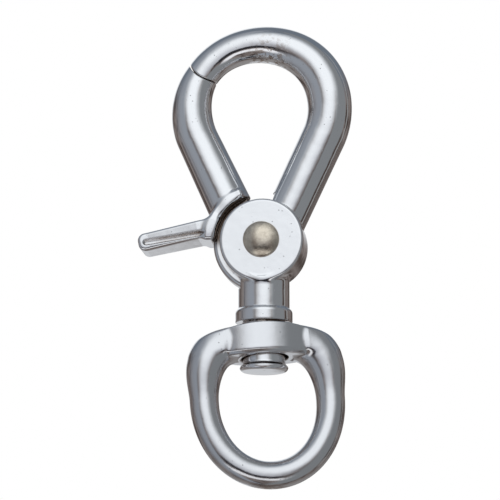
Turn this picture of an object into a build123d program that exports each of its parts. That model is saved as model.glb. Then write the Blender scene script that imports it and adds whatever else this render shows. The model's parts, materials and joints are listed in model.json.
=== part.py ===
from build123d import *
import os
from math import ceil, cos, hypot, pi, radians, sin

# Swivel-eye trigger snap: a scissor snap with a sprung trigger and a swivelling eye.
# Millimetres. +Z points from the eye to the hook loop, -Y is the front with the domed rivet head, and the
# trigger's lever points to -X. The origin is the middle of the eye's opening, on the swivel's axis.
# Each piece is drawn about the trigger's pivot, and is lifted to its place over the eye at the end.

# ---- Driving dimensions. Heights are from the trigger's pivot ----
pivot_height = 45.0  # from the origin up to the trigger's pivot
eye_clear_width = 25.0  # takes 25 mm webbing
eye_wire_radius = 3.7
loop_radius = 18.0  # centreline of the hook loop
loop_flat = 0.3  # the loop's top is this much flatter than a circle
loop_height = 35.5  # from the pivot up to the loop's centre
loop_offset = -0.8  # the loop's centre stands a little to the trigger's side
arm_slope = 25.0  # degrees that each straight arm leans from the vertical
seam_angle = 145.5  # degrees round the loop, from +X to the gap between hook and trigger
hook_root_radius = 5.6
hook_shoulder_radius = 5.75
tip_radius = 4.3
trigger_root_radius = 5.9

hub_radius = 10.8
hub_thickness = 13.3
hub_edge = 0.8
rivet_radius = 2.5
rivet_head_radius = 4.65
rivet_head_height = 2.1
rivet_head_edge = 0.5
rivet_tail_radius = 3.6

tongue_thickness = 5.6
tongue_radius = 12.85
slot_gap = 0.15  # between the tongue and each cheek
trigger_travel = 30.0  # degrees from shut to open
running_gap = 0.05  # radial, in both pivots

lever_length = 32.15  # from the pivot to the lever's tip
lever_height = 4.7
lever_thickness = 9.6
lever_edge = 0.8
lever_groove_depth = 2.2
lever_groove_width = 1.15
lever_groove_length = 16.6
lever_groove_middle = 6.1  # along the lever from lever_rise_at
lever_groove_drop = 0.74  # below the lever's middle line
lever_groove_tilt = 3.7  # degrees that it falls less than the lever does
lever_slope = 11.4  # degrees that the lever falls towards its tip
lever_rise = 3.2  # of its middle line over the pivot, at lever_rise_at
lever_rise_at = -16.6

collar_top = -17.0
collar_bottom = -20.7
collar_radius = 7.35
collar_shoulder = 1.5  # height of the rounded step from neck to collar
collar_chamfer = 0.4
post_radius = 5.45
post_end = -33.8
post_head_radius = 6.35
post_head_height = 1.9
post_head_edge = 1.2
boss_top = -22.0
boss_bottom = -30.0
boss_half_width = 10.8
boss_half_depth = 8.0
boss_round = 17.9  # radius of its front and rear faces
boss_bevel = 2.0
boss_crown = 60.0  # radius of the boss's top, which is crowned from side to side
shoulder_top = -22.4
shoulder_crown = 68.0  # the same for the shoulders beside it
cheek_wide_x, cheek_wide_y = 10.8, 4.8  # the boss's flat cheeks are widest here
cheek_end_x, cheek_end_y = 14.2, 3.6  # and taper to this
cheek_bottom = -28.8
bore_play = 0.6  # radial, so that the eye can lean
eye_lean = 4.0  # degrees that it hangs to the side at rest
eye_pitch = 5.0  # degrees that it hangs to the front at rest
eye_turn = 13.0  # degrees that it is turned on the post at rest
lean_height = (boss_top + boss_bottom) / 2

# ---- Sizes that follow ----
neck_radius = hub_thickness / 2 - 0.06
arc_start = -arm_slope
arc_end = 180 + arm_slope
arm_length = 24.0  # of each straight arm, before it is cut back round the hub
hook_clearance_radius = tongue_radius - 0.9
trigger_clearance_radius = tongue_radius - 0.2
tongue_root_radius = tongue_radius - 5.2
slot_root_radius = tongue_root_radius + 0.4
slot_radius = tongue_radius + 0.4
slot_thickness = tongue_thickness + 2 * slot_gap
tongue_start = 109.0  # the tongue's full radius lies between these angles when shut
tongue_end = 248.0
slot_start = 62.0
slot_end = tongue_end + trigger_travel + 1.5  # the tongue's shoulder meets this web when fully open
arm_web_thickness = 9.0  # holds the fixed arm to the hub, set back from both cheeks
hook_bulge = 1.5  # the hook's tip is convex by this much
seam_gap = 0.25
rim_outer_radius = 15.0
rim_start = 112.0
rim_end = 178.0
rim_thickness = 11.8

bow_half_width = eye_clear_width / 2 + eye_wire_radius
bow_centre = -41.0
bow_drop = 19.4
bow_rise = 16.0
bow_drop_power = 2.05
bow_rise_power = 3.3
bow_swell = 1.5  # the bow's radius grows by this much at the shoulders
bow_slim = 0.15  # and shrinks by this much at the bottom
bow_shoulder = 0.71  # sine of the angle where it is fully swelled

spring_wire = 0.35
spring_radius = 3.75
spring_turns = 3.5
spring_pitch = 0.78
spring_floor = -0.85  # the pocket's depth stops here
spring_pocket_radius = 4.45
spring_leg_reach = 5.9
spring_start = spring_floor + spring_wire + 0.1
spring_rear = spring_start + spring_turns * spring_pitch
spring_anchor_depth = 4.4  # how far the outer leg reaches back into the rear cheek


def ease(share):
    """Runs from 0 to 1 with a level start and end."""
    return (1 - cos(pi * min(1.0, max(0.0, share)))) / 2


def sector(radius, start, end):
    """A pie slice in the XZ plane about the pivot, between two angles in degrees."""
    steps = ceil((end - start) / 60)
    fan = [start + (end - start) * i / steps for i in range(steps + 1)]
    rim = [(3 * radius * cos(radians(a)), 3 * radius * sin(radians(a))) for a in fan]
    return Circle(radius) & Polygon((0, 0), *rim, align=None)


def plate(sketch, thickness):
    """Extrudes an XZ sketch to both sides of Y = 0."""
    return extrude(Plane.XZ * sketch, thickness / 2, both=True)


def slab(sketch, front, rear):
    """Extrudes an XZ sketch between two values of Y."""
    return Pos(0, rear, 0) * extrude(Plane.XZ * sketch, rear - front)


def across(radius, front, rear):
    """A cylinder along the pivot's axis, between two values of Y."""
    return slab(Circle(radius), front, rear)


def section(x, z, along_x, along_z):
    """A plane square to a centreline that lies in Y = 0. Its own X runs along Y."""
    return Plane(origin=(x, 0, z), x_dir=(0, 1, 0), z_dir=(along_x, 0, along_z))


# ---- The hook loop, shared by the fixed hook and the trigger ----
def loop_point(angle):
    """A circle that is eased a little flatter at the top, and is true where it meets the straight arms."""
    a = radians(angle)
    share = (angle - 90) / (90 + arm_slope)
    radius = loop_radius - loop_flat * (1 - share**2) ** 2 * cos(1.75 * pi * share)
    return loop_offset + radius * cos(a), loop_height + radius * sin(a)


def loop_section(angle, radius):
    before, after = loop_point(angle - 0.5), loop_point(angle + 0.5)
    dx, dz = after[0] - before[0], after[1] - before[1]
    length = hypot(dx, dz)
    return section(*loop_point(angle), dx / length, dz / length) * Circle(radius)


def straight_arm(angle, top_radius, root_radius):
    """A tapered round arm that leaves the loop at this angle and runs down towards the hub."""
    x, z = loop_point(angle)
    side = 1 if angle < 90 else -1
    along_x, along_z = side * sin(radians(arm_slope)), cos(radians(arm_slope))
    root_x, root_z = x - arm_length * along_x, z - arm_length * along_z
    root = section(root_x, root_z, along_x, along_z) * Circle(root_radius)
    top = section(x, z, along_x, along_z) * Circle(top_radius)
    return loft([root, top])


def seam_cylinder(growth):
    """The convex face of the hook's tip, a cylinder along Y through the tip's two corners."""
    radius = (tip_radius**2 + hook_bulge**2) / (2 * hook_bulge)
    x, z = loop_point(seam_angle)
    a = radians(seam_angle)
    back = hook_bulge - radius
    return Pos(x - back * sin(a), 0, z + back * cos(a)) * Rot(90, 0, 0) * Cylinder(radius + growth, 30)


def beyond_seam(gap):
    """Everything on the trigger's side of the seam."""
    a = radians(seam_angle)
    x, z = loop_point(seam_angle)
    face = section(x - gap * sin(a), z + gap * cos(a), -sin(a), cos(a))
    return face * Box(30, 30, 40, align=(Align.CENTER, Align.CENTER, Align.MIN))


# ---- Hook body: hook, cheeks, neck, collar and swivel post in one casting ----
def hook_radius(angle):
    """Even taper from the shoulder to the tip, with soft ends."""
    share = min(1.0, max(0.0, (angle - 10) / 120))
    return hook_shoulder_radius + (tip_radius - hook_shoulder_radius) * (share + ease(share)) / 2


def hook_arm():
    curve = [loop_section(a, hook_radius(a)) for a in range(round(arc_start), 156, 10)]
    tip = loft(curve) - (beyond_seam(0) - seam_cylinder(0))
    root = straight_arm(arc_start, hook_shoulder_radius, hook_root_radius)
    web = root & plate(sector(hook_clearance_radius + 1, -60, slot_start), arm_web_thickness)
    return root - plate(sector(hook_clearance_radius, -60, 150), 30) + web + tip


def neck_and_post():
    """Neck, collar and post, turned about the swivel's axis. The post's end is spun out under the eye."""
    neck_top = -hub_radius / 2
    shoulder = collar_top - collar_shoulder
    collar_flat = collar_radius - collar_chamfer
    head_top = post_end + post_head_height
    head_side = post_end + post_head_edge
    head_flat = post_head_radius - post_head_edge
    outline = [
        Line((0, neck_top), (neck_radius, neck_top)),
        Line((neck_radius, neck_top), (neck_radius, collar_top)),
        RadiusArc((neck_radius, collar_top), (collar_radius, shoulder), 1.8),
        Line((collar_radius, shoulder), (collar_radius, collar_bottom + collar_chamfer)),
        Line((collar_radius, collar_bottom + collar_chamfer), (collar_flat, collar_bottom)),
        Line((collar_flat, collar_bottom), (post_radius, collar_bottom)),
        Line((post_radius, collar_bottom), (post_radius, head_top + 1)),
        RadiusArc((post_radius, head_top + 1), (post_head_radius, head_top - 0.3), -1.6),
        Line((post_head_radius, head_top - 0.3), (post_head_radius, head_side)),
        RadiusArc((post_head_radius, head_side), (head_flat, post_end), post_head_edge),
        Line((head_flat, post_end), (0, post_end)),
        Line((0, post_end), (0, neck_top)),
    ]
    return revolve(Plane.XZ * make_face(outline), Axis.Z)


def hook_body():
    hub = across(hub_radius, -hub_thickness / 2, hub_thickness / 2)
    hub = fillet(hub.edges().filter_by(GeomType.CIRCLE), hub_edge)
    slot = plate(sector(slot_radius, slot_start, slot_end) + Circle(slot_root_radius), slot_thickness)
    anchor = slab(Pos(spring_leg_reach, 0) * Circle(spring_wire + 0.15), 0, spring_anchor_depth + 0.15)
    return hub + neck_and_post() + hook_arm() - slot - rivet_shank() - anchor


# ---- Trigger: gate arm, lever, rim round the hub, and the tongue between the cheeks ----
def gate_radius(angle):
    share = (angle - seam_angle) / (arc_end - seam_angle)
    return tip_radius + (5.45 - tip_radius) * sin(pi / 2 * min(1.0, max(0.0, share)))


def gate_arm():
    curve = [loop_section(a, gate_radius(a)) for a in range(135, round(arc_end) + 1, 10)]
    gate = (loft(curve) & beyond_seam(seam_gap)) - seam_cylinder(seam_gap)
    root = straight_arm(arc_end, gate_radius(arc_end), trigger_root_radius)
    return gate + root - across(trigger_clearance_radius, -20, 20)


def beside_lever(along, rise):
    """A place on the lever's side view, measured along it towards its tip and up from its middle line."""
    return Pos(lever_rise_at, lever_rise) * Rot(0, 0, lever_slope) * Pos(-along, rise)


def lever():
    """A flat bar that falls towards its rounded tip, with a closed groove in its front and rear faces."""
    root = -6.0
    tip = (lever_length + lever_rise_at - lever_height / 2) / cos(radians(lever_slope))
    outline = beside_lever((root + tip) / 2, 0) * Rectangle(tip - root, lever_height)
    bar = plate(outline + beside_lever(tip, 0) * Circle(lever_height / 2), lever_thickness)
    bar = fillet(bar.edges().filter_by(Plane.XZ), lever_edge)
    tilt = Rot(0, 0, -lever_groove_tilt)
    groove = beside_lever(lever_groove_middle, -lever_groove_drop) * tilt
    groove *= SlotOverall(lever_groove_length, lever_groove_width)
    web_half = lever_thickness / 2 - lever_groove_depth
    return bar - slab(groove, web_half, lever_thickness) - slab(groove, -lever_thickness, -web_half)


def tongue():
    full = plate(sector(tongue_radius, tongue_start, tongue_end), tongue_thickness)
    rims = [e for e in full.edges().filter_by(GeomType.CIRCLE) if e.radius > tongue_radius - 1]
    return fillet(rims, 1.2) + across(tongue_root_radius, -tongue_thickness / 2, tongue_thickness / 2)


def trigger():
    rim = plate(sector(rim_outer_radius, rim_start, rim_end), rim_thickness)
    outer = (rim + lever()) - across(trigger_clearance_radius, -20, 20)
    bore = across(rivet_radius + running_gap, -20, 20)
    return gate_arm() + outer + tongue() - bore - spring_room()


# ---- Pivot rivet and trigger spring ----
def rivet_shank():
    """The shank and its flush, countersunk tail."""
    rear = hub_thickness / 2
    sink = (Align.CENTER, Align.CENTER, Align.MIN)
    tail = Pos(0, rear, 0) * Rot(90, 0, 0) * Cone(rivet_tail_radius, rivet_radius, 1.1, align=sink)
    return across(rivet_radius, -rear, rear) + tail


def pivot_rivet():
    seat = -hub_thickness / 2
    rise = rivet_head_height - rivet_head_edge
    dome_radius = (rivet_head_radius**2 + rise**2) / (2 * rise)
    edge = across(rivet_head_radius, seat - rivet_head_edge, seat)
    dome_centre = seat - rivet_head_height + dome_radius
    dome = Pos(0, dome_centre, 0) * Sphere(dome_radius)
    head = across(rivet_head_radius, seat - rivet_head_height, seat) & dome
    return head + edge + rivet_shank()


def trigger_spring():
    """A torsion coil round the rivet. One leg sits in the tongue, the other in the rear cheek."""
    helix = Helix(spring_pitch, spring_turns * spring_pitch, spring_radius)
    path = Pos(0, spring_start, 0) * Rot(0, 180, 0) * Rot(-90, 0, 0) * helix
    wire = Plane(origin=path @ 0, z_dir=path % 0) * Circle(spring_wire)
    reach = spring_leg_reach - spring_radius
    leg = Rot(0, 90, 0) * Cylinder(spring_wire, reach, align=(Align.CENTER, Align.CENTER, Align.MIN))
    inner = Pos(-spring_radius, spring_start, 0) * Rot(0, 180, 0) * leg
    outer = Pos(spring_radius, spring_rear, 0) * leg
    corner = Pos(spring_leg_reach, spring_rear, 0) * Sphere(spring_wire)
    anchor = slab(Pos(spring_leg_reach, 0) * Circle(spring_wire), spring_rear, spring_anchor_depth)
    return sweep(wire, path, is_frenet=True) + inner + outer + corner + anchor


def spring_room():
    """The coil's pocket in the tongue, with a slot for the inner leg and the outer leg's sweep."""
    pocket = across(spring_pocket_radius, spring_floor, tongue_thickness)
    slot_middle = -(spring_radius + spring_leg_reach + 0.4) / 2
    slot = slab(Pos(slot_middle, 0) * Rectangle(2.6, 1.0), spring_floor, tongue_thickness)
    sweep_front = spring_rear - spring_wire - 0.15
    leg_fan = sector(spring_leg_reach + 0.6, -trigger_travel - 10, 10)
    return pocket + slot + slab(leg_fan, sweep_front, tongue_thickness)


# ---- Swivel eye: a D-shaped bow and a bored boss in one casting ----
def bow_point(angle):
    """The bow's centreline, as a polar curve about its own middle."""
    a = radians(angle)
    upper = sin(a) > 0
    reach = bow_rise if upper else bow_drop
    power = bow_rise_power if upper else bow_drop_power
    r = (abs(cos(a) / bow_half_width) ** power + abs(sin(a) / reach) ** power) ** (-1 / power)
    return r * cos(a), bow_centre + r * sin(a)


def bow_direction(angle):
    before, after = bow_point(angle - 0.5), bow_point(angle + 0.5)
    dx, dz = after[0] - before[0], after[1] - before[1]
    return dx / hypot(dx, dz), dz / hypot(dx, dz)


def bow_radius(angle):
    height = sin(radians(angle))
    return eye_wire_radius + bow_swell * ease(height / bow_shoulder) + bow_slim * min(height, 0)


def bow_outside():
    """Everything inside the bow's outer edge in side view, through the eye's whole depth."""
    rim = []
    for angle in range(0, 360, 10):
        x, z = bow_point(angle)
        dx, dz = bow_direction(angle)
        rim.append((x + dz * bow_radius(angle), z - dx * bow_radius(angle)))
    return plate(make_face(Spline(*rim, periodic=True)), 2 * boss_half_depth)


def crown(top, radius):
    """Everything under a top that is crowned from side to side."""
    return Pos(0, 0, top - radius) * Rot(90, 0, 0) * Cylinder(radius, 60)


def boss():
    """A barrel with gently rounded front and rear faces, and its lower edge bevelled off."""
    back = boss_round - boss_half_depth
    lens = Pos(0, back) * Circle(boss_round) & Pos(0, -back) * Circle(boss_round)
    outline = lens & Rectangle(2 * boss_half_width, 2 * boss_half_depth)
    barrel = extrude(Pos(0, 0, boss_bottom) * outline, boss_top - boss_bottom)
    return chamfer(barrel.edges().group_by(Axis.Z)[0], boss_bevel) & crown(boss_top, boss_crown)


def boss_cheeks():
    """Flat cheeks that taper from the boss back to the bow on each side."""
    front = [(-cheek_end_x, -cheek_end_y), (-cheek_wide_x, -cheek_wide_y)]
    front += [(-x, y) for x, y in reversed(front)]
    rear = [(-x, -y) for x, y in front]
    outline = Pos(0, 0, cheek_bottom) * Polygon(*front, *rear, align=None)
    return extrude(outline, boss_top - cheek_bottom) & bow_outside()


def swivel_eye():
    angles = range(105, 436, 10)
    bow = loft([section(*bow_point(a), *bow_direction(a)) * Circle(bow_radius(a)) for a in angles])
    shoulders = (bow + boss_cheeks()) & crown(shoulder_top, shoulder_crown)
    down = (Align.CENTER, Align.CENTER, Align.MAX)
    head_room = Pos(0, 0, boss_bottom) * Cylinder(post_head_radius + 0.9, 12, align=down)
    bore = Pos(0, 0, boss_bottom) * Cylinder(post_radius + bore_play, 30)
    upright = shoulders + boss() - head_room - bore
    hang = Rot(-eye_pitch, 0, 0) * Rot(0, -eye_lean, 0) * Rot(0, 0, eye_turn)
    return Pos(0, 0, lean_height) * hang * Pos(0, 0, -lean_height) * upright


if __name__ == "__main__":
    os.makedirs("parts", exist_ok=True)
    for build in (hook_body, trigger, pivot_rivet, trigger_spring, swivel_eye):
        export_step(Pos(0, 0, pivot_height) * build(), f"parts/{build.__name__}.step")
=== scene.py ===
import json
from math import ceil, cos, pi, radians, sin

import bpy
import numpy as np
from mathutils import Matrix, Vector


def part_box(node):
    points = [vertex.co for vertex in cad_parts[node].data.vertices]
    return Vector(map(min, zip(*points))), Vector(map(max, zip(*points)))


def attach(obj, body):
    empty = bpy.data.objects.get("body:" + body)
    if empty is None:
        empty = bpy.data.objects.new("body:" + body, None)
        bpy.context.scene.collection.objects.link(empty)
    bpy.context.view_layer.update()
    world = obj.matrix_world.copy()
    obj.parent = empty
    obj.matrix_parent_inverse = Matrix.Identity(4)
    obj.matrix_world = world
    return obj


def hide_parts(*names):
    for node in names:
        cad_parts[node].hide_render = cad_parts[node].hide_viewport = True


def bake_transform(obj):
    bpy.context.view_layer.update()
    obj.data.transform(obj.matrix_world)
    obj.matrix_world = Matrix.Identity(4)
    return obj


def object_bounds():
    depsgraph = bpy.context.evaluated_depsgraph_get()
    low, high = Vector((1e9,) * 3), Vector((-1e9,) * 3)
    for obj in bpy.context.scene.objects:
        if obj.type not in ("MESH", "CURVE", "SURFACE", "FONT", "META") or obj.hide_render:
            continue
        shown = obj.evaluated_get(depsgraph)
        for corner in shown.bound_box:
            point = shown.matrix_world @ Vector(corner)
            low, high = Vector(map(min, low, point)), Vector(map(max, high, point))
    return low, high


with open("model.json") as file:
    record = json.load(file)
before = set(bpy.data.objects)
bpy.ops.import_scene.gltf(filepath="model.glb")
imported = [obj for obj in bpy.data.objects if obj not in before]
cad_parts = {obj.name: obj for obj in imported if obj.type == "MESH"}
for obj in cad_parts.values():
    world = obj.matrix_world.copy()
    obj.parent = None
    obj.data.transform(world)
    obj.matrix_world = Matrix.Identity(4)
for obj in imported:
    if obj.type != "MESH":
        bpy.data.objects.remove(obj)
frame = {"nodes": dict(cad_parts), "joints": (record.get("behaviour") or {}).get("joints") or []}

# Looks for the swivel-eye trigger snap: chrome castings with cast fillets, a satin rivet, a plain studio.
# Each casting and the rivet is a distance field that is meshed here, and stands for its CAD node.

CAD_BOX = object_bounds()
MM = 0.001  # shapes are worked out in millimetres, and every mesh is made in metres
PIVOT = Vector(next(j["pos_m"] for j in frame["joints"] if j["name"] == "trigger_pivot"))


def node_box(node):
    """A CAD node's lowest and highest corners, in millimetres from the pivot."""
    return tuple((corner - PIVOT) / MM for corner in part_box(node))


# ---- Sizes in millimetres and degrees. Places are measured from the trigger's pivot ----
OVERLAP = 1.0  # how far a solid runs on into its neighbour before they are joined
CRISP = 0.1  # the radius of an edge that ends up inside a neighbour

# The loop is an arc, a little flattened, with a straight arm at each end
LOOP_RADIUS = 18.0
LOOP_FLAT = 0.3
LOOP_WAVE = 1.75  # the flattening turns into a slight swell part of the way down each side
LOOP_OFFSET = -0.8
LOOP_HEIGHT = 35.5
ARM_SLOPE = 25.0
ARM_LENGTH = 24.0
ARC_START = -ARM_SLOPE
ARC_END = 180 + ARM_SLOPE

# The fixed hook thins from its shoulder to its tip, which bulges into the gate's end
SHOULDER_RADIUS = 5.75
HOOK_ROOT_RADIUS = 5.6
TIP_RADIUS = 4.3
TAPER_START = 10.0
TAPER_END = 130.0
HOOK_BULGE = 1.5
HOOK_ARC_END = 155.0  # past the seam, where the tip's face cuts it back
ARM_SINK = 1.2  # how far the arm's root runs on inside the hub
ARM_FILLET = 0.3

# The gate
SEAM_ANGLE = 145.5
SEAM_GAP = 0.25
SEAM_EDGE = 0.4
GATE_ARC_START = 135.0  # past the seam, where the tip's face cuts it back
GATE_SHOULDER_RADIUS = 5.45
GATE_ROOT_RADIUS = 5.9

# The hub's two cheeks, and the tongue's room between them
HUB_RADIUS = 10.8
HUB_HALF = node_box("pivot_rivet")[1].y
HUB_EDGE = 0.8
TONGUE_RADIUS = 12.85
TONGUE_DISC_RADIUS = 7.65
TONGUE_HALF = 2.8
TONGUE_EDGE = 1.2
TONGUE_CORNER = 0.4
TONGUE_DISC_EDGE = 0.3
TONGUE_MIDDLE = 178.5
TONGUE_HALF_SPREAD = 69.5
TONGUE_ROOM = 0.4
TONGUE_ROOM_MIDDLE = 170.75
TONGUE_ROOM_HALF_SPREAD = 108.75
TONGUE_ROOM_CORNER = 0.3
TONGUE_ROOM_EDGE = 0.25
SLOT_GAP = 0.15

# The neck, the collar and the swivel post with its spun end
NECK_RADIUS = 6.59
NECK_SINK = 0.9  # how far the neck's top runs on inside the hub
NECK_FILLET = 1.0
COLLAR_TOP = -17.0
COLLAR_BOTTOM = -20.7
COLLAR_RADIUS = 7.35
COLLAR_TOP_EDGE = 1.25
COLLAR_BOTTOM_EDGE = 0.35
COLLAR_FILLET = 0.15
POST_RADIUS = 5.45
POST_END = node_box("hook_body")[0].z
POST_DOME = 25.0
POST_HEAD_RADIUS = 6.35
POST_HEAD_HEIGHT = 2.1
POST_HEAD_EDGE = 1.0
POST_FILLET = 0.9

# The pivot rivet
RIVET_RADIUS = 2.5
RIVET_HEAD_RADIUS = node_box("pivot_rivet")[1].x
RIVET_HEAD_RISE = 1.5
RIVET_HEAD_RIM = 0.6
RIVET_HEAD_EDGE = 0.3
RIVET_TAIL_RADIUS = 3.6
RIVET_TAIL_START = 5.5
RIVET_HOLE_GAP = 0.02  # keeps the shank's face apart from the hole's in the cheeks
RIVET_PLAY = 0.05

# The rim round the hub, which joins the gate arm to the lever
RIM_RADIUS = 13.8
RIM_HALF_WIDTH = 1.2
RIM_HALF_DEPTH = 5.9
RIM_MIDDLE = 145.0
RIM_HALF_SPREAD = 33.0
RIM_EDGE = 0.8
RIM_SINK = 0.2  # how far the arm and the lever run on inside the rim
RIM_ARM_EDGE = 0.5
RIM_ARM_FILLET = 0.9
RIM_LEVER_EDGE = 0.3
RIM_LEVER_FILLET = 1.6
RIM_TONGUE_FILLET = 0.25

# The lever: a bar with a grooved face, whose lower lip slants back
LEVER_TIP = -node_box("trigger")[0].x
LEVER_TIP_INSET = 0.05
LEVER_ROOT = -6.0
LEVER_HALF_HEIGHT = 2.35
LEVER_HALF_DEPTH = 4.8
LEVER_FLARE = 13.0  # the bar deepens to the rim's depth over this length
LEVER_END_RADIUS = 1.9
LEVER_EDGE = 0.8
LEVER_SLOPE = 11.4
LEVER_RISE = 3.2
LEVER_RISE_AT = -16.6
GROOVE_DROP = 0.74
GROOVE_TILT = 3.7
GROOVE_MIDDLE = 6.1
GROOVE_HALF_LENGTH = 8.3
GROOVE_HALF_WIDTH = 0.6
GROOVE_FLOOR = 3.8
GROOVE_EDGE = 0.5
LIP_TOP = -1.5
LIP_SLANT = 24.0

# The spring's pocket in the tongue, and the depths between which the coil winds up
SPRING_POCKET_RADIUS = 4.45
SPRING_FLOOR = -0.85
SPRING_SLOT_MIDDLE = -5.0
SPRING_SLOT_HALF_LENGTH = 1.3
SPRING_SLOT_HALF_WIDTH = 0.5
SPRING_SWEEP_RADIUS = 6.5
SPRING_SWEEP_FLOOR = 1.83
SPRING_SWEEP_MIDDLE = -15.0
SPRING_SWEEP_HALF_SPREAD = 25.0

# The eye's bow is a rounded oval about its own middle, and swells towards its shoulders
BOW_RADIUS = 3.7
BOW_SLIM = 0.15
BOW_SWELL = 1.5
BOW_SHOULDER = 0.71
BOW_HALF_WIDTH = 12.5 + BOW_RADIUS
BOW_CENTRE = -41.0
BOW_DROP = 19.4
BOW_DROP_POWER = 2.05
BOW_RISE = 16.0
BOW_RISE_POWER = 3.3
BOW_EDGE = 0.8

# The boss is a barrel with a crowned top, and flat-sided cheeks carry it out to the bow
BOSS_TOP = -22.0
BOSS_CROWN = 60.0
BOSS_BOTTOM = -30.0
BOSS_BEVEL = 0.9
BOSS_HALF_WIDTH = 10.8
BOSS_HALF_DEPTH = 8.0
BOSS_ROUND = 17.9
BOSS_EDGE = 0.4
BOSS_FILLET = 0.4
BOSS_BEVEL_EDGE = 0.3
CHEEK_WIDE_X, CHEEK_WIDE_Y = 10.8, 4.8
CHEEK_END_X, CHEEK_END_Y = 14.2, 3.6
CHEEK_BOTTOM = -28.8
CHEEK_INSET = 1.2  # from the bow's outline
CHEEK_EDGE = 0.6
CHEEK_FILLET = 2.0
SHOULDER_TOP = -22.4
SHOULDER_CROWN = 68.0
BORE_RADIUS = 6.05
BORE_DEPTH = 8.0
BORE_EDGE = 0.3
HEAD_ROOM = 0.9
HEAD_ROOM_HALF_DEPTH = 6.0

# How the eye hangs in its loose bore
EYE_LEAN = 4.0
EYE_PITCH = 5.0
EYE_TURN = 13.0
LEAN_HEIGHT = -26.0  # the eye leans about the post's axis at this height


# ---- Joining distance fields. A field is negative inside its solid ----
def join(a, b, soft=0.0):
    """Both solids, with a fillet about this wide where they meet."""
    if soft == 0:
        return np.minimum(a, b)
    blend = np.maximum(soft - np.abs(a - b), 0) / soft
    return np.minimum(a, b) - blend**2 * soft / 4


def common(a, b, soft=0.0):
    """What both solids share, with its new edge rounded."""
    return -join(-a, -b, soft)


def cut(a, b, soft=0.0):
    """The first solid without the second, with its new edge rounded."""
    return common(a, -b, soft)


def rounded(edge, *sides):
    """A box-like solid from the signed distances to its sides, with edges rounded to this radius."""
    sides = [side + edge for side in sides]
    outside = np.sqrt(sum(np.maximum(side, 0) ** 2 for side in sides))
    return outside + np.minimum(np.maximum.reduce(sides), 0) - edge


def ease(share):
    """Runs smoothly from 0 to 1 as the share does."""
    return (1 - np.cos(pi * np.clip(share, 0, 1))) / 2


def polar(x, z, middle):
    """Angle in degrees about the origin, within half a turn of middle."""
    return (np.degrees(np.arctan2(z, x)) - middle + 180) % 360 - 180 + middle


def wedge(x, z, middle, half_spread):
    """A wedge about the pivot's axis, from its middle angle and half its spread."""
    return (np.abs(polar(x, z, middle) - middle) - half_spread) * np.radians(np.hypot(x, z))


# ---- The loop, shared by the fixed hook and the gate ----
def arc_tube(x, y, z, start, end, thickness):
    """A round tube along the loop. thickness gives its radius at an angle."""
    angle = np.clip(polar(x - LOOP_OFFSET, z - LOOP_HEIGHT, (start + end) / 2), start, end)
    turn = np.radians(angle)
    share = (angle - 90) / (90 + ARM_SLOPE)
    reach = LOOP_RADIUS - LOOP_FLAT * (1 - share**2) ** 2 * np.cos(LOOP_WAVE * pi * share)
    near_x = LOOP_OFFSET + reach * np.cos(turn)
    near_z = LOOP_HEIGHT + reach * np.sin(turn)
    return np.sqrt((x - near_x) ** 2 + y**2 + (z - near_z) ** 2) - thickness(angle)


def straight_tube(x, y, z, side, top_radius, root_radius):
    """The tapered arm that carries on from one end of the loop, down towards the hub."""
    top_x = LOOP_OFFSET + side * LOOP_RADIUS * cos(radians(ARM_SLOPE))
    top_z = LOOP_HEIGHT - LOOP_RADIUS * sin(radians(ARM_SLOPE))
    down_x, down_z = -side * sin(radians(ARM_SLOPE)), -cos(radians(ARM_SLOPE))
    along = np.clip((x - top_x) * down_x + (z - top_z) * down_z, 0, ARM_LENGTH)
    near_x, near_z = top_x + along * down_x, top_z + along * down_z
    radius = top_radius + (root_radius - top_radius) * along / ARM_LENGTH
    return np.sqrt((x - near_x) ** 2 + y**2 + (z - near_z) ** 2) - radius


def hook_side(x, z):
    """The hook's side of its tip's convex face."""
    radius = (TIP_RADIUS**2 + HOOK_BULGE**2) / (2 * HOOK_BULGE)
    turn = radians(SEAM_ANGLE)
    along_x, along_z = -sin(turn), cos(turn)
    back = HOOK_BULGE - radius
    centre_x = LOOP_OFFSET + LOOP_RADIUS * cos(turn) + back * along_x
    centre_z = LOOP_HEIGHT + LOOP_RADIUS * sin(turn) + back * along_z
    past = (x - centre_x) * along_x + (z - centre_z) * along_z
    return np.minimum(np.hypot(x - centre_x, z - centre_z) - radius, past)


# ---- Hook body ----
def hook_thickness(angle):
    """The hook's radius, between an even and an eased taper from its shoulder to its tip."""
    share = np.clip((angle - TAPER_START) / (TAPER_END - TAPER_START), 0, 1)
    return SHOULDER_RADIUS + (TIP_RADIUS - SHOULDER_RADIUS) * (share + ease(share)) / 2


def hook_arm(x, y, z):
    """The loop's arc up to the seam, and the right arm, whose root is sunk in the hub."""
    kept = np.minimum(hook_side(x, z), LOOP_OFFSET - x)
    tip = common(arc_tube(x, y, z, ARC_START, HOOK_ARC_END, hook_thickness), kept, SEAM_EDGE)
    root = straight_tube(x, y, z, 1, SHOULDER_RADIUS, HOOK_ROOT_RADIUS)
    return join(tip, cut(root, np.hypot(x, z) - HUB_RADIUS + ARM_SINK))


def neck(x, y, z):
    column = rounded(CRISP, np.hypot(x, y) - NECK_RADIUS, COLLAR_TOP - OVERLAP - z, z)
    return common(column, HUB_RADIUS - NECK_SINK - np.hypot(x, z))


def collar(x, y, z):
    middle = (COLLAR_TOP + COLLAR_BOTTOM) / 2
    edge = np.where(z > middle, COLLAR_TOP_EDGE, COLLAR_BOTTOM_EDGE)
    ends = np.abs(z - middle) - (COLLAR_TOP - COLLAR_BOTTOM) / 2
    return rounded(edge, np.hypot(x, y) - COLLAR_RADIUS, ends)


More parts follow.
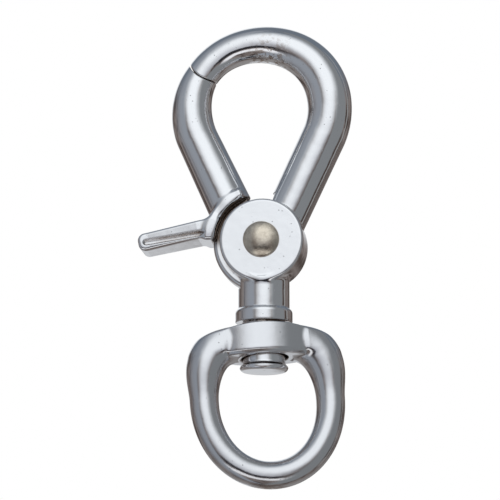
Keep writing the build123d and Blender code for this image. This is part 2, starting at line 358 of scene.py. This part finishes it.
def swivel_post(x, y, z):
    """The post, with its end spun out into a domed button."""
    out = np.hypot(x, y)
    post = rounded(CRISP, out - POST_RADIUS, POST_END + OVERLAP - z, z - COLLAR_BOTTOM - OVERLAP)
    dome = np.sqrt(x**2 + y**2 + (z - POST_END - POST_DOME) ** 2) - POST_DOME
    head = rounded(POST_HEAD_EDGE, out - POST_HEAD_RADIUS, dome, z - POST_END - POST_HEAD_HEIGHT)
    return join(post, head, POST_FILLET)


def tongue_room(x, y, z):
    """The slot between the cheeks: a disc round the rivet, and the wedge that the tongue turns in."""
    out = np.hypot(x, z)
    open_wedge = wedge(x, z, TONGUE_ROOM_MIDDLE, TONGUE_ROOM_HALF_SPREAD)
    fan = common(out - TONGUE_RADIUS - TONGUE_ROOM, open_wedge, TONGUE_ROOM_CORNER)
    fan = join(fan, out - TONGUE_DISC_RADIUS - TONGUE_ROOM)
    return common(fan, np.abs(y) - TONGUE_HALF - SLOT_GAP)


def hook_body(x, y, z):
    hub = rounded(HUB_EDGE, np.hypot(x, z) - HUB_RADIUS, np.abs(y) - HUB_HALF)
    below = join(join(neck(x, y, z), collar(x, y, z), COLLAR_FILLET), swivel_post(x, y, z))
    body = join(join(hub, below, NECK_FILLET), hook_arm(x, y, z), ARM_FILLET)
    body = cut(body, tongue_room(x, y, z), TONGUE_ROOM_EDGE)
    return cut(body, rivet_shank(x, y, z) - RIVET_HOLE_GAP)


# ---- Trigger ----
def gate_thickness(angle):
    """The gate's radius, which grows quickly below the seam and then levels off."""
    share = np.clip((angle - SEAM_ANGLE) / (ARC_END - SEAM_ANGLE), 0, 1)
    return TIP_RADIUS + (GATE_SHOULDER_RADIUS - TIP_RADIUS) * np.sin(pi / 2 * share)


def gate_arm(x, y, z):
    """The loop's arc below the seam, and the left arm."""
    arc = arc_tube(x, y, z, GATE_ARC_START, ARC_END, gate_thickness)
    root = straight_tube(x, y, z, -1, GATE_SHOULDER_RADIUS, GATE_ROOT_RADIUS)
    return join(cut(arc, hook_side(x, z) - SEAM_GAP, SEAM_EDGE), root)


def lever_groove(along, across, y):
    """A round-ended groove in each broad face of the lever, tilted a little to it."""
    tilt = radians(GROOVE_TILT)
    lengthways = (along - GROOVE_MIDDLE) * cos(tilt) + (across + GROOVE_DROP) * sin(tilt)
    sideways = (across + GROOVE_DROP) * cos(tilt) - (along - GROOVE_MIDDLE) * sin(tilt)
    beyond = np.maximum(np.abs(lengthways) - GROOVE_HALF_LENGTH + GROOVE_HALF_WIDTH, 0)
    return common(np.hypot(beyond, sideways) - GROOVE_HALF_WIDTH, GROOVE_FLOOR - np.abs(y), GROOVE_EDGE)


def lever(x, y, z):
    slope = radians(LEVER_SLOPE)
    along = -(x - LEVER_RISE_AT) * cos(slope) - (z - LEVER_RISE) * sin(slope)
    across = -(x - LEVER_RISE_AT) * sin(slope) + (z - LEVER_RISE) * cos(slope)
    tip = (LEVER_TIP + LEVER_RISE_AT) / cos(slope) - LEVER_TIP_INSET
    flare = (RIM_HALF_DEPTH - LEVER_HALF_DEPTH) * np.clip(1 - along / LEVER_FLARE, 0, 1)
    depth = LEVER_HALF_DEPTH + flare
    side = rounded(LEVER_END_RADIUS, np.abs(across) - LEVER_HALF_HEIGHT, along - tip, LEVER_ROOT - along)
    bar = rounded(LEVER_EDGE, side, np.abs(y) - depth)
    slant = radians(LIP_SLANT)
    lip = (LIP_TOP - across) * sin(slant) + (np.abs(y) - depth) * cos(slant)
    bar = common(bar, lip, LEVER_EDGE)
    return cut(bar, lever_groove(along, across, y), GROOVE_EDGE)


def tongue(x, y, z):
    """The plate between the cheeks: a wedge that carries the rim, and a disc round the rivet."""
    out = np.hypot(x, z)
    plate = rounded(TONGUE_EDGE, out - TONGUE_RADIUS, np.abs(y) - TONGUE_HALF)
    plate = common(plate, wedge(x, z, TONGUE_MIDDLE, TONGUE_HALF_SPREAD), TONGUE_CORNER)
    return join(plate, rounded(TONGUE_DISC_EDGE, out - TONGUE_DISC_RADIUS, np.abs(y) - TONGUE_HALF))


def trigger(x, y, z):
    out = np.hypot(x, z)
    ends = wedge(x, z, RIM_MIDDLE, RIM_HALF_SPREAD)
    rim = rounded(RIM_EDGE, np.abs(out - RIM_RADIUS) - RIM_HALF_WIDTH, np.abs(y) - RIM_HALF_DEPTH, ends)
    inside = out - TONGUE_RADIUS + RIM_SINK
    bar = cut(lever(x, y, z), inside, RIM_LEVER_EDGE)
    arm = cut(gate_arm(x, y, z), inside, RIM_ARM_EDGE)
    outer = join(join(rim, bar, RIM_LEVER_FILLET), arm, RIM_ARM_FILLET)
    solid = join(outer, tongue(x, y, z), RIM_TONGUE_FILLET)
    return cut(cut(solid, out - RIVET_RADIUS - RIVET_PLAY), spring_room(x, y, z))


def spring_room(x, y, z):
    """The coil's pocket, the slot for its inner leg, and the sweep of its outer leg."""
    out = np.hypot(x, z)
    deep = SPRING_FLOOR - y
    pocket = common(out - SPRING_POCKET_RADIUS, deep)
    beside = np.abs(z) - SPRING_SLOT_HALF_WIDTH
    slot = common(np.maximum(beside, np.abs(x - SPRING_SLOT_MIDDLE) - SPRING_SLOT_HALF_LENGTH), deep)
    fan = wedge(x, z, SPRING_SWEEP_MIDDLE, SPRING_SWEEP_HALF_SPREAD)
    sweep = common(np.maximum(out - SPRING_SWEEP_RADIUS, fan), SPRING_SWEEP_FLOOR - y)
    return join(join(pocket, slot), sweep)


# ---- Pivot rivet ----
def rivet_shank(x, y, z):
    """The shank, with a countersunk tail flush with the rear cheek."""
    out = np.hypot(x, z)
    within = np.abs(y) - HUB_HALF
    tail = np.maximum(out - RIVET_TAIL_RADIUS + (HUB_HALF - y), within)
    return join(np.maximum(out - RIVET_RADIUS, within), np.maximum(tail, RIVET_TAIL_START - y))


def pivot_rivet(x, y, z):
    dome = (RIVET_HEAD_RADIUS**2 + RIVET_HEAD_RISE**2) / (2 * RIVET_HEAD_RISE)
    centre = dome - HUB_HALF - RIVET_HEAD_RIM - RIVET_HEAD_RISE
    ball = np.sqrt(x**2 + z**2 + (y - centre) ** 2) - dome
    head = common(np.hypot(x, z) - RIVET_HEAD_RADIUS, ball, RIVET_HEAD_EDGE)
    return join(common(head, y + HUB_HALF), rivet_shank(x, y, z))


# ---- Swivel eye ----
def bow_point(angle):
    """The bow's centreline at an angle about the bow's middle."""
    turn = np.radians(angle)
    upper = np.sin(turn) > 0
    power = np.where(upper, BOW_RISE_POWER, BOW_DROP_POWER)
    reach = np.where(upper, BOW_RISE, BOW_DROP)
    size = np.abs(np.cos(turn) / BOW_HALF_WIDTH) ** power + np.abs(np.sin(turn) / reach) ** power
    out = size ** (-1 / power)
    return out * np.cos(turn), BOW_CENTRE + out * np.sin(turn)


def bow_thickness(angle):
    """The bow's radius: even round the bottom, and swelling up to the shoulders."""
    height = np.sin(np.radians(angle))
    return BOW_RADIUS + BOW_SWELL * ease(height / BOW_SHOULDER) + BOW_SLIM * np.minimum(height, 0)


def bow_nearest(x, z, rounds=4, step=0.05, furthest=12):
    """The angle at which the bow's centreline passes nearest to each point, by Newton's method."""
    angle = np.degrees(np.arctan2(z - BOW_CENTRE, x))
    for _ in range(rounds):
        here_x, here_z = bow_point(angle)
        next_x, next_z = bow_point(angle + step)
        dx, dz = (next_x - here_x) / step, (next_z - here_z) / step
        move = ((x - here_x) * dx + (z - here_z) * dz) / (dx**2 + dz**2)
        angle = angle + np.clip(move, -furthest, furthest)
    return angle


def swivel_eye(x, y, z):
    """The eye hangs in its loose bore, leaning a little and turned a little on the post."""
    lean, pitch, turn = radians(EYE_LEAN), radians(EYE_PITCH), radians(EYE_TURN)
    z = z - LEAN_HEIGHT
    y, z = y * cos(pitch) - z * sin(pitch), z * cos(pitch) + y * sin(pitch)
    x, z = x * cos(lean) + z * sin(lean), z * cos(lean) - x * sin(lean)
    x, y = x * cos(turn) + y * sin(turn), y * cos(turn) - x * sin(turn)
    return upright_eye(x, y, z + LEAN_HEIGHT)


def boss_barrel(x, y, z):
    """Bowed front and rear faces that meet flat ends, a crowned top and a bevelled bottom edge."""
    side = np.hypot(x, np.abs(y) + BOSS_ROUND - BOSS_HALF_DEPTH) - BOSS_ROUND
    top = np.hypot(x, z - BOSS_TOP + BOSS_CROWN) - BOSS_CROWN
    barrel = rounded(BOSS_EDGE, side, np.abs(x) - BOSS_HALF_WIDTH, top, BOSS_BOTTOM - z)
    bevel = (side + BOSS_BOTTOM - z + BOSS_BEVEL) / 2**0.5
    return common(barrel, bevel, BOSS_BEVEL_EDGE)


def shoulder_cheeks(x, y, z, outline, crown):
    """Flat-sided blocks that narrow from the boss out to the bow, kept inside the bow's outline."""
    slope = (CHEEK_WIDE_Y - CHEEK_END_Y) / (CHEEK_END_X - CHEEK_WIDE_X)
    taper = (np.abs(y) - CHEEK_WIDE_Y + slope * (np.abs(x) - CHEEK_WIDE_X)) / (1 + slope**2) ** 0.5
    flat = np.maximum(taper, np.abs(y) - CHEEK_WIDE_Y)
    return rounded(CHEEK_EDGE, flat, outline + CHEEK_INSET, crown, CHEEK_BOTTOM - z)


def upright_eye(x, y, z):
    angle = bow_nearest(x, z)
    near_x, near_z = bow_point(angle)
    beside = np.hypot(x - near_x, z - near_z)
    bow = np.hypot(beside, y) - bow_thickness(angle)
    beyond = np.hypot(x, z - BOW_CENTRE) > np.hypot(near_x, near_z - BOW_CENTRE)
    outline = np.where(beyond, beside, -beside) - bow_thickness(angle)
    crown = np.hypot(x, z - SHOULDER_TOP + SHOULDER_CROWN) - SHOULDER_CROWN
    cheeks = shoulder_cheeks(x, y, z, outline, crown)
    ring = join(cheeks, common(bow, crown, BOW_EDGE), CHEEK_FILLET)
    solid = join(ring, boss_barrel(x, y, z), BOSS_FILLET)
    out = np.hypot(x, y)
    below = np.abs(z - BOSS_BOTTOM + HEAD_ROOM_HALF_DEPTH) - HEAD_ROOM_HALF_DEPTH
    solid = cut(solid, rounded(BORE_EDGE, below, out - POST_HEAD_RADIUS - HEAD_ROOM))
    return cut(solid, np.maximum(out - BORE_RADIUS, BOSS_BOTTOM - BORE_DEPTH - z), BORE_EDGE)


# ---- Meshing a field ----
CELL = 0.3
TRIGGER_CELL = CELL * 0.6  # finer, for the lever's groove
RIVET_CELL = CELL / 2
BLOCK = 6  # lattice points along each side of a block
MARGIN = 3  # cells round the CAD node's box
NEAR = 1.3  # a block whose middle is within this many block lengths of the surface is worked out in full
SETTLE_STEP = 0.5  # the share of the way a vertex moves towards its neighbours' mean
LEAST_STEEPNESS = 0.2  # keeps the step onto the surface small where the field is flat
UNITS = np.eye(3, dtype=int)


def lattice_values(field, low, counts, cell):
    """The field on a lattice. Blocks that are far from the surface keep their middle's value."""
    blocks = np.array(counts) // BLOCK
    middles = low + (np.indices(blocks).reshape(3, -1).T * BLOCK + (BLOCK - 1) / 2) * cell
    rough = field(*middles.T).reshape(blocks)
    values = rough
    for axis in range(3):
        values = np.repeat(values, BLOCK, axis)
    near = np.argwhere(np.abs(rough) < BLOCK * cell * NEAR + cell) * BLOCK
    index = (near[:, None, :] + np.indices((BLOCK,) * 3).reshape(3, -1).T[None]).reshape(-1, 3)
    values[tuple(index.T)] = field(*(low + index * cell).T)
    return values


def crossed_cells(inside):
    """True for each lattice cell that has corners on both sides of the surface."""
    count = np.zeros(np.array(inside.shape) - 1, np.int8)
    for corner in np.ndindex(2, 2, 2):
        count += inside[tuple(slice(c, c + size) for c, size in zip(corner, count.shape))]
    return (count > 0) & (count < 8)


def cell_vertices(values, cells):
    """The mean of the points where the surface crosses each cell's edges."""
    total, hits = np.zeros((len(cells), 3)), np.zeros(len(cells))
    for corner in np.ndindex(2, 2, 2):
        for axis in range(3):
            if corner[axis] == 1:
                continue
            start = values[tuple((cells + corner).T)]
            end = values[tuple((cells + corner + UNITS[axis]).T)]
            crossed = (start < 0) != (end < 0)
            share = np.where(crossed, start / np.where(crossed, start - end, 1), 0)
            total += np.where(crossed[:, None], corner + share[:, None] * UNITS[axis], 0)
            hits += crossed
    return cells + total / hits[:, None]


def edge_quads(inside, numbers, axis):
    """A quad round each lattice edge along one axis that the surface crosses, facing outwards."""
    u, v = UNITS[(axis + 1) % 3], UNITS[(axis + 2) % 3]
    start = inside[tuple(slice(0, -1) if i == axis else slice(1, -1) for i in range(3))]
    end = inside[tuple(slice(1, None) if i == axis else slice(1, -1) for i in range(3))]
    edges = np.argwhere(start != end) + u + v
    outward = start[start != end]
    ring = [edges, edges - u, edges - u - v, edges - v]
    quad = np.stack([numbers[tuple(cell.T)] for cell in ring], axis=1)
    return np.where(outward[:, None], quad, quad[:, ::-1])


def surface_net(values):
    """One vertex in each lattice cell that the surface crosses, and a quad round each crossed edge."""
    inside = values < 0
    active = crossed_cells(inside)
    cells = np.argwhere(active)
    numbers = np.full(active.shape, -1)
    numbers[active] = np.arange(len(cells))
    quads = [edge_quads(inside, numbers, axis) for axis in range(3)]
    return cell_vertices(values, cells), np.concatenate(quads)


def gradient(field, points, step=0.02):
    """The field's slope along each axis, from its values on either side of each point."""
    slopes = []
    for axis in range(3):
        shift = UNITS[axis] * step
        slopes.append((field(*(points + shift).T) - field(*(points - shift).T)) / (2 * step))
    return np.stack(slopes, axis=1)


def settle(field, points, quads, cell, rounds=4):
    """Evens out the vertices along the surface and pulls them onto it. Gives the surface's normals too."""
    for _ in range(rounds):
        total, hits = np.zeros_like(points), np.zeros(len(points))
        for turn in (1, 3):
            np.add.at(total, quads.ravel(), points[np.roll(quads, turn, axis=1).ravel()])
            np.add.at(hits, quads.ravel(), 1)
        slope = gradient(field, points)
        steep = np.maximum((slope**2).sum(1, keepdims=True), LEAST_STEEPNESS)
        shift = (total / hits[:, None] - points) * SETTLE_STEP
        shift -= (shift * slope).sum(1, keepdims=True) / steep * slope
        points = points + shift
        for _ in range(2):
            points = points - field(*points.T)[:, None] / steep * slope
    slope = gradient(field, points, cell / 2)
    return points, slope / np.maximum(np.linalg.norm(slope, axis=1, keepdims=True), 1e-6)


def add_object(name, data):
    """A new object in the scene, at the frame's origin."""
    thing = bpy.data.objects.new(name, data)
    bpy.context.scene.collection.objects.link(thing)
    return thing


def build(name, field, node, body, material, cell):
    """Meshes a field as a piece that stands for one CAD node."""
    low, high = (np.array(corner) for corner in node_box(node))
    low = low - MARGIN * cell
    counts = [BLOCK * ceil((high[i] + MARGIN * cell - low[i]) / cell / BLOCK) for i in range(3)]
    points, quads = surface_net(lattice_values(field, low, counts, cell))
    points, normals = settle(field, low + points * cell, quads, cell)
    mesh = bpy.data.meshes.new(name)
    mesh.from_pydata((points * MM + np.array(PIVOT)).tolist(), [], quads.tolist())
    mesh.shade_smooth()
    mesh.normals_split_custom_set_from_vertices(normals.tolist())
    mesh.materials.append(material)
    piece = add_object(name, mesh)
    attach(piece, body)
    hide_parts(node)


def winding_spring(material):
    """A copy of the spring's mesh, with the wire's material, in the CAD node's place."""
    mesh = frame["nodes"]["trigger_spring"].data.copy()
    mesh.materials.clear()
    mesh.materials.append(material)
    spring = add_object("coil_spring", mesh)
    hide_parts("trigger_spring")
    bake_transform(spring)


# ---- Shader building ----
class Shader:
    """Adds nodes to a tree. An input is given as a number, a colour, a vector or another node's output."""

    def __init__(self, tree):
        self.tree = tree

    def add(self, kind, inputs, output=0, **settings):
        node = self.tree.nodes.new(kind)
        for name, value in settings.items():
            setattr(node, name, value)
        for key, value in inputs.items():
            if isinstance(value, bpy.types.NodeSocket):
                self.tree.links.new(value, node.inputs[key])
            elif value is not None:
                node.inputs[key].default_value = value
        return node.outputs[output]

    def math(self, operation, a, b=None, c=None):
        return self.add("ShaderNodeMath", {0: a, 1: b, 2: c}, operation=operation)

    def dot(self, a, b):
        return self.add("ShaderNodeVectorMath", {0: a, 1: b}, output=1, operation="DOT_PRODUCT")

    def fade(self, value, start, end, low=0.0, high=1.0):
        """Runs smoothly from low to high as the value goes from start to end."""
        inputs = {"Value": value, "From Min": start, "From Max": end, "To Min": low, "To Max": high}
        return self.add("ShaderNodeMapRange", inputs, interpolation_type="SMOOTHSTEP")

    def mix(self, share, a, b):
        inputs = {"Factor": share, 6: a, 7: b}
        return self.add("ShaderNodeMix", inputs, output=2, data_type="RGBA")

    def noise(self, place, scale, detail=3.0, roughness=0.5):
        inputs = {"Vector": place, "Scale": scale, "Detail": detail, "Roughness": roughness}
        return self.add("ShaderNodeTexNoise", inputs)

    def bump(self, height, distance, normal=None):
        inputs = {"Height": height, "Distance": distance, "Strength": 1.0, "Normal": normal}
        return self.add("ShaderNodeBump", inputs)

    def object_place(self):
        return self.add("ShaderNodeTexCoord", {}, output="Object")


def new_material(name):
    material = bpy.data.materials.new(name)
    material.use_nodes = True
    return material, Shader(material.node_tree), material.node_tree.nodes["Principled BSDF"]


def connect(shade, surface, **inputs):
    """Sets a surface's inputs, with _ for a space in their names."""
    for name, value in inputs.items():
        socket = surface.inputs[name.replace("_", " ")]
        if isinstance(value, bpy.types.NodeSocket):
            shade.tree.links.new(value, socket)
        else:
            socket.default_value = value


# ---- Materials. Noise scales are per metre, and lengths here are in metres ----
CHROME = (0.9, 0.91, 0.925, 1)
CHROME_ROUGHNESS = 0.045
EYE_CHROME = (0.8, 0.81, 0.83, 1)
EYE_ROUGHNESS = 0.12
# Brown for the rubbed wear inside the loop, and for the painted shade in hollows and creases
STAIN_AND_SHADE = (0.36, 0.25, 0.17, 1)
PIT = (0.12, 0.11, 0.11, 1)
# Near-black brown, the painted shade in the gap between the trigger's rim and the hub
GAP_SHADE = (0.12, 0.09, 0.07, 1)
RIPPLE_DEPTH = 0.00012
PIT_DEPTH = 0.00005
CREVICE_REACH = 0.0016
WEAR_CENTRE = PIVOT + Vector((LOOP_OFFSET + 3.0, 0, LOOP_HEIGHT + LOOP_RADIUS - 4.0)) * MM
WEAR_OUTER = 0.0085
WEAR_INNER = 0.003
RIVET_TINTS = (0.6, 0.53, 0.44, 1), (0.84, 0.76, 0.63, 1)
WIRE = (0.42, 0.42, 0.44, 1)
WIRE_GREASE = (0.2, 0.17, 0.13, 1)
FLOOR_TINTS = (0.8, 0.8, 0.8, 1), (0.84, 0.84, 0.84, 1)


def plating_pits(shade, place):
    """Scattered pinholes: small round spots, kept only in some patches."""
    cells = {"Vector": place, "Scale": 950.0, "Randomness": 1.0}
    to_pit = shade.add("ShaderNodeTexVoronoi", cells, output="Distance")
    here = shade.fade(shade.noise(place, 300.0, 2.0), 0.52, 0.6)
    return shade.math("MULTIPLY", shade.fade(to_pit, 0.14, 0.07), here)


def bight_wear(shade, place):
    """How near a point is to the crown of the loop's inside, where the ring that it holds rubs."""
    ends = {0: place, 1: tuple(WEAR_CENTRE)}
    away = shade.add("ShaderNodeVectorMath", ends, output=1, operation="DISTANCE")
    return shade.fade(away, WEAR_OUTER, WEAR_INNER)


def hub_gap_shade(shade, place):
    """The recess between the trigger's rim and the hub's cheeks above the lever, where dark painted shade
    is laid.
    """
    x, y, z = (shade.math("MULTIPLY", shade.dot(place, tuple(axis)), 1 / MM) for axis in np.eye(3))
    z = shade.math("SUBTRACT", z, PIVOT.z / MM)
    squares = shade.math("ADD", shade.math("POWER", x, 2.0), shade.math("POWER", z, 2.0))
    out = shade.math("SQRT", squares)
    inside = shade.fade(out, TONGUE_RADIUS + 0.3, TONGUE_RADIUS - 0.2)
    between = shade.fade(shade.math("ABSOLUTE", y), 5.0, 3.8)
    left = shade.math("MULTIPLY", shade.fade(x, 0.0, -2.0), shade.fade(z, -2.5, 1.5))
    return shade.math("MULTIPLY", shade.math("MULTIPLY", inside, between), left)


def chrome(name, tint, roughness):
    """Bright plate over a casting: a slow ripple, fine pits and stain where it is rubbed, with painted
    shade in its hollows and in the gap by the hub.
    """
    material, shade, surface = new_material(name)
    place = shade.object_place()
    ripple = shade.noise(place, 160.0, 2.0)
    grain = shade.noise(place, 1400.0, 3.0, 0.6)
    pit = plating_pits(shade, place)
    # Painted shade: hollows and creases that ambient occlusion finds are darkened towards brown, in patches
    reach = {"Distance": CREVICE_REACH}
    seen = shade.add("ShaderNodeAmbientOcclusion", reach, output="AO", samples=6)
    patches = shade.noise(place, 330.0, 4.0, 0.65)
    painted_crevice_shade = shade.math("MULTIPLY", shade.fade(seen, 0.72, 0.3), shade.fade(patches, 0.25, 0.55))
    specks = shade.noise(place, 900.0, 3.0, 0.6)
    rubbed = shade.math("MULTIPLY", bight_wear(shade, place), shade.fade(specks, 0.48, 0.6))
    # The rubbed wear and the painted shade in hollows share one brown
    wear_and_painted_shade = shade.math("MAXIMUM", painted_crevice_shade, rubbed)
    colour = shade.mix(shade.math("MULTIPLY", wear_and_painted_shade, 0.75), tint, STAIN_AND_SHADE)
    # Painted shade: the gap between the trigger's rim and the hub is darkened, in patches
    grease_and_gap_shade = shade.math("MULTIPLY", hub_gap_shade(shade, place), shade.fade(patches, 0.2, 0.45, 0.75, 1.0))
    colour = shade.mix(grease_and_gap_shade, colour, GAP_SHADE)
    colour = shade.mix(shade.math("MULTIPLY", pit, 0.5), colour, PIT)
    height = shade.math("MULTIPLY_ADD", grain, 0.06, ripple)
    normal = shade.bump(pit, -PIT_DEPTH, shade.bump(height, RIPPLE_DEPTH))
    rough = shade.math("MULTIPLY_ADD", grain, 0.08, roughness)
    rough = shade.math("MULTIPLY_ADD", wear_and_painted_shade, 0.25, rough)
    connect(shade, surface, Base_Color=colour, Metallic=1.0, Roughness=rough, Normal=normal)
    return material


def rivet_metal():
    """Warm satin steel, with blotches and a fine grain."""
    material, shade, surface = new_material("rivet_steel")
    place = shade.object_place()
    grain = shade.noise(place, 2200.0, 4.0, 0.7)
    blotch = shade.noise(place, 500.0, 3.0, 0.6)
    tint = shade.mix(shade.fade(blotch, 0.3, 0.7), *RIVET_TINTS)
    rough = shade.math("MULTIPLY_ADD", grain, 0.2, 0.13)
    normal = shade.bump(grain, 0.00003)
    connect(shade, surface, Base_Color=tint, Metallic=1.0, Roughness=rough, Normal=normal)
    return material


def spring_wire():
    """Drawn wire with a fine grain and a trace of grease."""
    material, shade, surface = new_material("spring_steel")
    place = shade.object_place()
    grain = shade.noise(place, 3000.0, 2.0)
    grease_and_gap_shade = shade.noise(place, 600.0, 3.0)
    tint = shade.mix(shade.fade(grease_and_gap_shade, 0.45, 0.65), WIRE, WIRE_GREASE)
    rough = shade.fade(grain, 0.3, 0.7, 0.2, 0.4)
    normal = shade.bump(grain, 0.00002)
    connect(shade, surface, Base_Color=tint, Metallic=1.0, Roughness=rough, Normal=normal)
    return material


def pale_floor():
    """Matt off-white. It is clear when seen from below, because the camera looks up at the object."""
    material, shade, surface = new_material("pale_floor")
    place = shade.object_place()
    tint = shade.mix(shade.noise(place, 3.0), *FLOOR_TINTS)
    connect(shade, surface, Base_Color=tint, Roughness=0.9)
    below = shade.add("ShaderNodeNewGeometry", {}, output="Backfacing")
    clear = shade.add("ShaderNodeBsdfTransparent", {})
    both = shade.add("ShaderNodeMixShader", {0: below, 1: surface.outputs[0], 2: clear})
    shade.tree.links.new(both, shade.tree.nodes["Material Output"].inputs["Surface"])
    return material


# ---- Studio ----
CAMERA_AZIMUTH = 6.5
CAMERA_ELEVATION = -11.5
CAMERA_DISTANCE = 0.75
CAMERA_LENS = 209.5
CAMERA_AIM = PIVOT + Vector((-0.0036, 0, -0.0014))
FLOOR_RADIUS = 3.0
FLOOR_SIDES = 64
FLOOR_GAP = 0.0005
LIGHT_SIZE = 0.5
LIGHT_ENERGY = 5.0
LIGHT_AZIMUTH = -30
LIGHT_ELEVATION = 62
LIGHT_DISTANCE = 0.7

# What the chrome reflects, as panels: azimuths from the camera's, elevations, and a colour. A panel
# fades in between its first two angles and out between its last two, and later ones cover earlier ones.
# A panel straight behind the object is given as two halves, because azimuths run from -180 to 180.
ALL_ROUND = (-182, -181, 181, 182)
ALL_HEIGHTS = (-92, -91, 91, 92)
PANELS = [
    (ALL_ROUND, (12, 40, 91, 92), (0.15, 0.175, 0.21)),
    ((112, 150, 181, 182), (-72, -52, -16, -6), (0.27, 0.255, 0.25)),
    ((-182, -181, -150, -112), (-72, -52, -16, -6), (0.27, 0.255, 0.25)),
    ((-122, -60, -50, -35), ALL_HEIGHTS, (0.28, 0.30, 0.335)),
    ((30, 37, 87, 93), ALL_HEIGHTS, (0.215, 0.225, 0.235)),
    ((101, 104, 108, 111), (-40, -30, 50, 60), (0.3, 0.3, 0.3)),
    ((-42, -12, 8, 35), (-21, -14, 40, 60), (0.5, 0.51, 0.55)),
    ((-45, -30, 20, 32), (-34, -29, -20, -17), (0.025, 0.025, 0.03)),
    ((-60, -38, 22, 45), (-54, -47, -38, -34), (0.9, 0.9, 0.92)),
    ((173, 178, 181, 182), (-42, -30, -2, 8), (0.58, 0.59, 0.61)),
    ((-182, -181, -168, -158), (-42, -30, -2, 8), (0.58, 0.59, 0.61)),
]
# Round soft boxes: azimuth and elevation, how far from there each fades out and is full, and a colour
SOFT_BOXES = [
    ((-1, 33), (50, 13), (0.96, 0.99, 1.02)),
    ((-170, 27), (30, 14), (0.85, 0.87, 0.9)),
]
ROOM_DARK = (0.06, 0.045, 0.04, 1)
ROOM_LIGHT = (0.22, 0.19, 0.18, 1)
BACKDROP = (1, 1, 1, 1)


def direction(azimuth, elevation):
    """A unit vector from the object. 0, 0 is straight out of its front."""
    a, e = radians(azimuth), radians(elevation)
    return Vector((sin(a) * cos(e), -cos(a) * cos(e), sin(e)))


def panel_share(shade, value, fades):
    """One on the panel and zero outside it, with a smooth change between each pair of angles."""
    rise = shade.fade(value, fades[0], fades[1])
    fall = shade.fade(value, fades[3], fades[2])
    return shade.math("MULTIPLY", rise, fall)


def studio_world():
    """Soft boxes and grey walls for reflections, and plain white where the camera sees past the object."""
    world = bpy.data.worlds.new("studio")
    world.use_nodes = True
    shade = Shader(world.node_tree)
    toward = shade.add("ShaderNodeTexCoord", {}, output="Generated")
    right = shade.dot(toward, direction(CAMERA_AZIMUTH + 90, 0))
    front = shade.dot(toward, direction(CAMERA_AZIMUTH, 0))
    azimuth = shade.math("DEGREES", shade.math("ARCTAN2", right, front))
    elevation = shade.math("DEGREES", shade.math("ARCSINE", shade.dot(toward, (0, 0, 1))))
    clutter = shade.fade(shade.noise(toward, 5.0, 3.0), 0.38, 0.62)
    colour = shade.mix(clutter, ROOM_DARK, ROOM_LIGHT)
    for azimuths, elevations, shown in PANELS:
        across = panel_share(shade, azimuth, azimuths)
        up = panel_share(shade, elevation, elevations)
        colour = shade.mix(shade.math("MULTIPLY", across, up), colour, (*shown, 1))
    for (around, height), fades, shown in SOFT_BOXES:
        likeness = shade.dot(toward, direction(CAMERA_AZIMUTH + around, height))
        apart = shade.math("DEGREES", shade.math("ARCCOSINE", likeness))
        colour = shade.mix(shade.fade(apart, *fades), colour, (*shown, 1))
    seen = shade.add("ShaderNodeLightPath", {}, output="Is Camera Ray")
    colour = shade.mix(seen, colour, BACKDROP)
    shade.tree.links.new(colour, shade.tree.nodes["Background"].inputs["Color"])
    return world


def aim(thing, azimuth, elevation, target, distance):
    """Points an object at a target from an azimuth and elevation in degrees."""
    back = direction(azimuth, elevation)
    thing.location = target + back * distance
    thing.rotation_euler = back.to_track_quat("Z", "Y").to_euler()


def studio_floor():
    """A wide disc under the object. The chrome doesn't reflect it, as the surroundings hold its colour."""
    mesh = bpy.data.meshes.new("floor")
    turns = [2 * pi * i / FLOOR_SIDES for i in range(FLOOR_SIDES)]
    height = CAD_BOX[0].z - FLOOR_GAP
    rim = [(FLOOR_RADIUS * cos(turn), FLOOR_RADIUS * sin(turn), height) for turn in turns]
    mesh.from_pydata(rim, [], [range(FLOOR_SIDES)])
    mesh.materials.append(pale_floor())
    floor = add_object("floor", mesh)
    floor.visible_glossy = False


def soft_light():
    """One large overhead panel for the floor's soft shadow."""
    data = bpy.data.lights.new("overhead", "AREA")
    data.size = LIGHT_SIZE
    data.energy = LIGHT_ENERGY
    light = add_object("overhead", data)
    aim(light, LIGHT_AZIMUTH, LIGHT_ELEVATION, PIVOT, LIGHT_DISTANCE)
    light.visible_glossy = False


def photo_camera():
    """A long lens that looks up at the object from a little to its right."""
    data = bpy.data.cameras.new("camera")
    data.lens = CAMERA_LENS
    data.sensor_width = 36
    data.clip_end = 20
    camera = add_object("camera", data)
    aim(camera, CAMERA_AZIMUTH, CAMERA_ELEVATION, CAMERA_AIM, CAMERA_DISTANCE)
    bpy.context.scene.camera = camera


# ---- The scene ----
hook_chrome = chrome("chrome_plate", CHROME, CHROME_ROUGHNESS)
eye_chrome = chrome("eye_chrome", EYE_CHROME, EYE_ROUGHNESS)
build("cast_hook", hook_body, "hook_body", "hook", hook_chrome, CELL)
build("cast_trigger", trigger, "trigger", "trigger", hook_chrome, TRIGGER_CELL)
build("cast_eye", swivel_eye, "swivel_eye", "eye", eye_chrome, CELL)
build("domed_rivet", pivot_rivet, "pivot_rivet", "hook", rivet_metal(), RIVET_CELL)
winding_spring(spring_wire())

studio_floor()
soft_light()
photo_camera()
bpy.context.scene.world = studio_world()
bpy.context.scene.view_settings.view_transform = "Standard"
